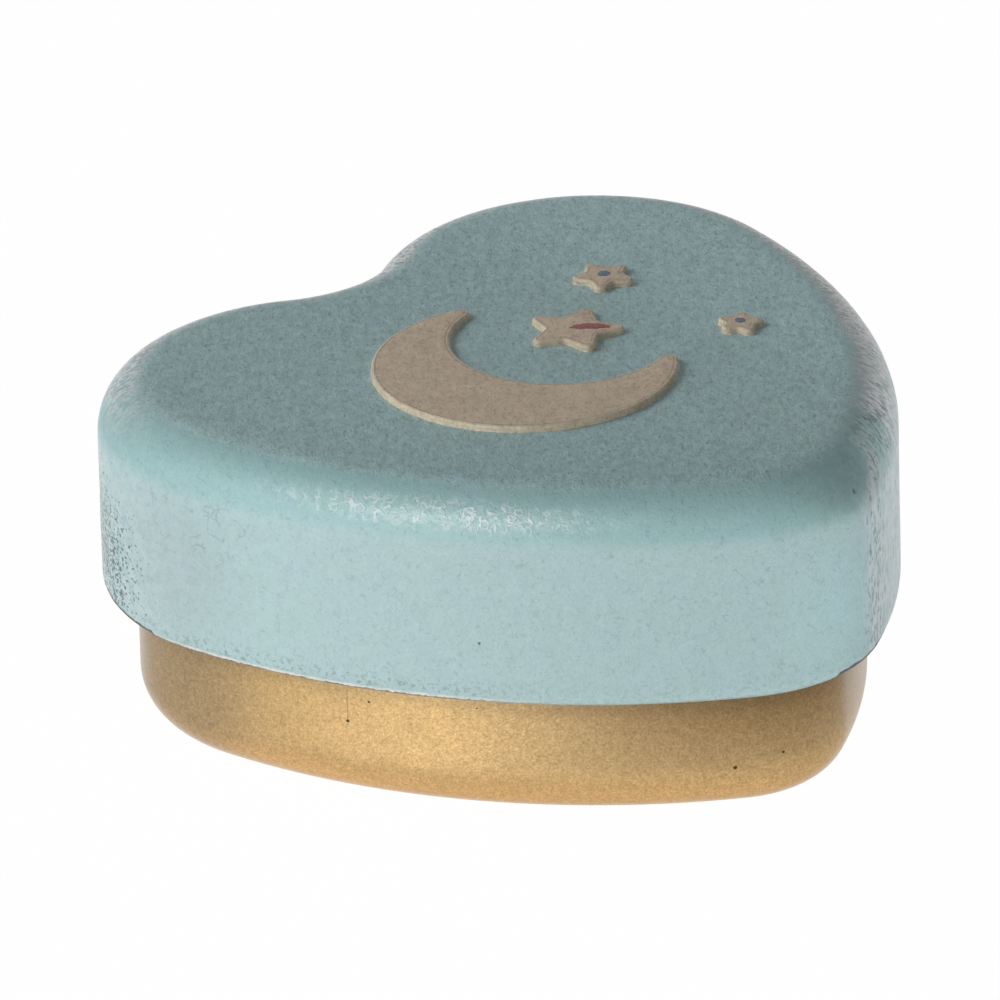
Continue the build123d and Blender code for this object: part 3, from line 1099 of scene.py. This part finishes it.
class TIN_OT_emblem(bpy.types.Operator):
    """Make the raised emblem: a crescent moon and its stars"""

    bl_idname = "tin.emblem"
    bl_label = "Emblem"

    def execute(self, context):
        tin = context.scene.tin
        sizes = tin.sizes
        enamel = cream_enamel(tin)
        low = LID_HIGH.z - sizes.relief
        top = LID_HIGH.z - sizes.swell - sizes.touch_height
        foot, bend = sizes.relief_foot, sizes.relief_round
        foot_bend = arc_points((-foot, low + foot), foot, -QUARTER, QUARTER, 4)
        foot_bend[0, 1] -= sizes.sheet / 4
        section = in_row(foot_bend, arc_points((bend, top - bend), bend, math.pi, -QUARTER, 6))
        self.moon(section, sizes.swell, enamel)
        for name, star in STARS.items():
            self.star(name, star, section, sizes.swell, enamel)
        return {"FINISHED"}

    def moon(self, section, swell, enamel):
        """The crescent's face is a grid of lines across it, from station k of its edge to
        station n - 1 - k, raised in the middle by a half sine. The points of a line crowd
        together at its ends, at (1 - cos(half turn * share)) / 2. Fans close the horns."""
        count, half = ROUND, ROUND // 2
        edge, normal = outline = moon_outline(count)
        walls = carried(outline, section)
        skin = Skin()
        ring = skin.grid(walls, np.maximum(section[:, :1], 0))
        skin.quads(ring)
        near, far = slice(0, half), slice(count - 1, half - 1, -1)
        share = (1 - np.cos(even(28) * math.pi))[None, :, None] / 2
        first, last = walls[-1, near, None], walls[-1, far, None]
        face = first * (1 - share) + last * share
        wide = np.clip(np.linalg.norm(first - last, axis=2, keepdims=True) / (2 * MM), 0, 1)
        face = face + np.array(UP) * (np.sin(math.pi * share) * wide * swell)
        from_near, from_far = (
            ((edge[side, None] - face[..., :2]) * normal[side, None]).sum(2) for side in (near, far)
        )
        inner = skin.grid(face[1:-1], np.minimum(from_near, from_far)[1:-1])
        brim = ring[-1]
        sides = [brim[near][1:-1, None], brim[far][1:-1, None]]
        rows = np.concatenate([sides[0], inner, sides[1]], axis=1)
        skin.quads(rows[::-1], ring=False)
        horns = ((brim[0], [*rows[0], brim[-1]]), (brim[half - 1], [brim[half], *rows[-1][::-1]]))
        for pole, line in horns:
            spokes = np.column_stack([line[:-1], line[1:]])
            skin.add(np.column_stack([np.full(len(spokes), pole), spokes]), 0)
        skin.quads(np.stack([ring[0, near], ring[0, far]], axis=1), ring=False)
        self.finish("emblem_moon", skin, enamel)

    def star(self, name, star, section, swell, enamel):
        """The star's face is its rim drawn in to its middle, raised there by the swell."""
        edge, normal = outline = stations(star_arcs(*star), STAR_ROUND)
        walls = carried(outline, section)
        shares = dense_at_one(14)
        x, y = star[:2]
        low, brim = walls[0, 0, 2], walls[-1, 0, 2]
        face = drawn_in(walls[-1], np.array([x, y, brim]), shares)
        face[..., 2] += swell * (1 - shares[:, None] ** 2)
        inward = ((edge[None] - face[..., :2]) * normal[None]).sum(2)
        beside = np.broadcast_to(np.maximum(section[:, :1], 0), walls.shape[:2])
        skin = Skin()
        skin.closed(
            np.concatenate([walls, face]),
            [[x, y, low], [x, y, brim + swell]],
            rim=np.concatenate([beside, inward]),
            pole_rim=inward.max(),
        )
        self.finish("emblem_" + name, skin, enamel)

    @staticmethod
    def finish(name, skin, enamel):
        piece = skin.piece(name, [enamel])
        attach(piece, "lid")


class TIN_OT_touches(bpy.types.Operator):
    """Make the small coloured touches of enamel on the stars"""

    bl_idname = "tin.touches"
    bl_label = "Touches"

    def execute(self, context):
        tin = context.scene.tin
        paints = {
            name: touch_enamel(name + "_enamel", getattr(tin.colours, name))
            for name in ("blue", "red")
        }
        for name, (paint, *shape) in TOUCHES.items():
            self.touch(name, shape, tin.sizes.touch_height, paints[paint])
        return {"FINISHED"}

    @staticmethod
    def touch(name, shape, height, paint):
        """A low dome over a brush mark: an oval with an uneven edge, bent along its length,
        its height falling with the fourth power of the way out to the edge."""
        *lengths, degrees = shape
        x, y, along, across, bend = [value * MM for value in lengths]
        turn = math.radians(degrees)
        way = np.arange(96) / 96 * 2 * math.pi
        uneven = 1 + 0.07 * np.sin(3 * way + 1) + 0.06 * np.sin(8 * way) + 0.05 * np.sin(17 * way + 2)
        long = along * np.cos(way) * uneven
        wide = across * np.sin(way) * uneven * (1 + 0.3 * np.cos(way))
        wide = wide + bend * (np.cos(way) ** 2 - 0.5)
        lift = 1.5 * height
        ring = np.column_stack([
            x + long * math.cos(turn) - wide * math.sin(turn),
            y + long * math.sin(turn) + wide * math.cos(turn),
            np.full_like(way, LID_HIGH.z - lift),
        ])
        pole = ring.mean(0)
        shares = dense_at_one(10)
        dome = drawn_in(ring, pole, shares)
        dome[..., 2] += lift * (1 - shares[:, None] ** 4)
        skin = Skin()
        skin.closed(np.concatenate([ring[None], dome]), [pole, pole + [0, 0, lift]])
        piece = skin.piece(name, [paint])
        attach(piece, "lid")


class TIN_OT_stage(bpy.types.Operator):
    """Set the floor, the lamps, the world and the camera"""

    bl_idname = "tin.stage"
    bl_label = "Stage"

    def execute(self, context):
        tin = context.scene.tin
        self.floor(tin)
        self.world(tin)
        self.lamps(tin)
        self.camera(tin)
        context.scene.view_settings.view_transform = "Standard"
        return {"FINISHED"}

    @staticmethod
    def shown(finish, camera, mirrored, other):
        """A share for rays from the camera or through glass, one for rays from glossy
        surfaces, and one for all others."""
        seen, through, glossy = (
            finish.node("LightPath", output="Is " + name + " Ray")
            for name in ("Camera", "Transmission", "Glossy")
        )
        return finish.most(seen, through) * (camera - other) + glossy * (mirrored - other) + other

    def floor(self, tin):
        """A square grid, flat, that shows white to the camera but keeps some of the shadow. It
        is lit through like a light table, so lamps below its level reach the tin."""
        line = np.linspace(-FLOOR_REACH, FLOOR_REACH, 3)
        x, y = np.meshgrid(line, line)
        skin = Skin()
        skin.quads(skin.grid(np.stack([x, y, np.full_like(x, BASE_LOW.z)], axis=-1)), ring=False)
        finish = Finish("floor")
        matt = finish.node("BsdfDiffuse", None, {"Color": rgba(tin.colours.floor)})
        white = finish.node("Emission", None, {"Color": WHITE, "Strength": 1.0})
        share = self.shown(finish, 0.99, tin.studio.mirrored_floor, 0.0)
        mixed = finish.node("MixShader", None, {0: share, 1: matt, 2: white})
        finish.node("OutputMaterial", None, {"Surface": mixed})
        floor = skin.piece("floor", [finish.material])
        floor.visible_shadow = False

    def world(self, tin):
        studio = tin.studio
        world = bpy.data.worlds.new("studio")
        world.use_nodes = True
        finish = Finish(tree=world.node_tree)
        strength = self.shown(finish, 1.0, studio.mirrored_world, studio.sky)
        light = finish.node("Background", None, {"Color": WHITE, "Strength": strength})
        finish.node("OutputWorld", None, {"Surface": light})
        bpy.context.scene.world = world

    @staticmethod
    def lamps(tin):
        """Each lamp: name, bearing and rise from the tin, distance, width, height, level, and
        whether matt and glossy surfaces see it."""
        studio = tin.studio
        middle = Vector((0, 0, LID_HIGH.z / 2))
        table = (
            ("front_lamp", -165, 0, 0.7, 0.36, 0.20, studio.front, True, True),
            ("fill_lamp", -150, -14, 0.6, 0.25, 0.20, studio.fill, True, False),
            ("back_lamp", 134, 32, 0.6, 0.40, 0.30, studio.back, True, False),
            ("right_lamp", -52, -14, 0.6, 0.40, 0.20, studio.right, True, False),
            ("key_lamp", -163, 36, 0.6, 0.20, 0.14, studio.key, False, True),
        )
        for name, way, rise, away, width, height, level, matt, glossy in table:
            back = heading(math.radians(way), math.radians(rise))
            light = bpy.data.lights.new(name, "AREA")
            light.shape = "RECTANGLE"
            light.size, light.size_y = width, height
            light.energy = level * (math.pi * away) ** 2
            lamp = linked(name, light)
            lamp.visible_camera, lamp.visible_diffuse, lamp.visible_glossy = False, matt, glossy
            turn = back.to_track_quat("Z", "Y").to_matrix().to_4x4()
            lamp.matrix_world = Matrix.Translation(middle + back * away) @ turn

    @staticmethod
    def camera(tin):
        """The camera looks at the tin's middle, is rolled, and is then turned aside until the
        middle lies at its pixels in the frame."""
        studio = tin.studio
        back = heading(studio.camera_bearing, studio.camera_rise)
        middle = Vector((0, 0, (LID_HIGH.z - tin.sizes.relief) / 2))
        right = (-back).cross(UP).normalized()
        turn = Matrix((right, right.cross(-back), back)).transposed()
        aside = math.atan(studio.middle_right_px / studio.lens_px)
        down = math.atan(studio.middle_down_px / studio.lens_px)
        for part, axis in ((studio.camera_roll, "Z"), (aside, "Y"), (down, "X")):
            turn = turn @ Matrix.Rotation(part, 3, axis)
        data = bpy.data.cameras.new("camera")
        data.sensor_fit = "HORIZONTAL"
        data.lens = studio.lens_px * data.sensor_width / FRAME_PX
        data.clip_start = 0.05
        camera = linked("camera", data)
        camera.matrix_world = Matrix.Translation(middle + back * studio.camera_distance) @ turn.to_4x4()
        bpy.context.scene.camera = camera


class TinSettings(bpy.types.PropertyGroup):
    """All settings of the tin and its stage."""

    sizes: PointerProperty(type=TinSizes, name="Sizes", description="The tin's own sizes")
    colours: PointerProperty(type=TinColours, name="Colours", description="Paints and sheet")
    studio: PointerProperty(type=TinStudio, name="Studio", description="Camera and lamps")


class TIN_PT_panel(bpy.types.Panel):
    """Lists the settings and the steps that build the tin"""

    bl_idname = "TIN_PT_panel"
    bl_label = "Keepsake tin"
    bl_space_type = "VIEW_3D"
    bl_region_type = "UI"
    bl_category = "Tin"

    def draw(self, context):
        for step in STEPS:
            self.layout.operator(step.bl_idname)
        for group in (context.scene.tin.sizes, context.scene.tin.colours, context.scene.tin.studio):
            box = self.layout.box()
            for name in group.__annotations__:
                box.prop(group, name)


STEPS = (TIN_OT_lid, TIN_OT_emblem, TIN_OT_touches, TIN_OT_base, TIN_OT_stage)
CLASSES = (TinSizes, TinColours, TinStudio, TinSettings, *STEPS, TIN_PT_panel)


def register():
    for group in CLASSES:
        bpy.utils.register_class(group)
    bpy.types.Scene.tin = PointerProperty(type=TinSettings)


def unregister():
    del bpy.types.Scene.tin
    for group in reversed(CLASSES):
        bpy.utils.unregister_class(group)


def main():
    register()
    bpy.ops.tin.lid()
    bpy.ops.tin.emblem()
    bpy.ops.tin.touches()
    bpy.ops.tin.base()
    bpy.ops.tin.stage()


if __name__ == "__main__":
    main()
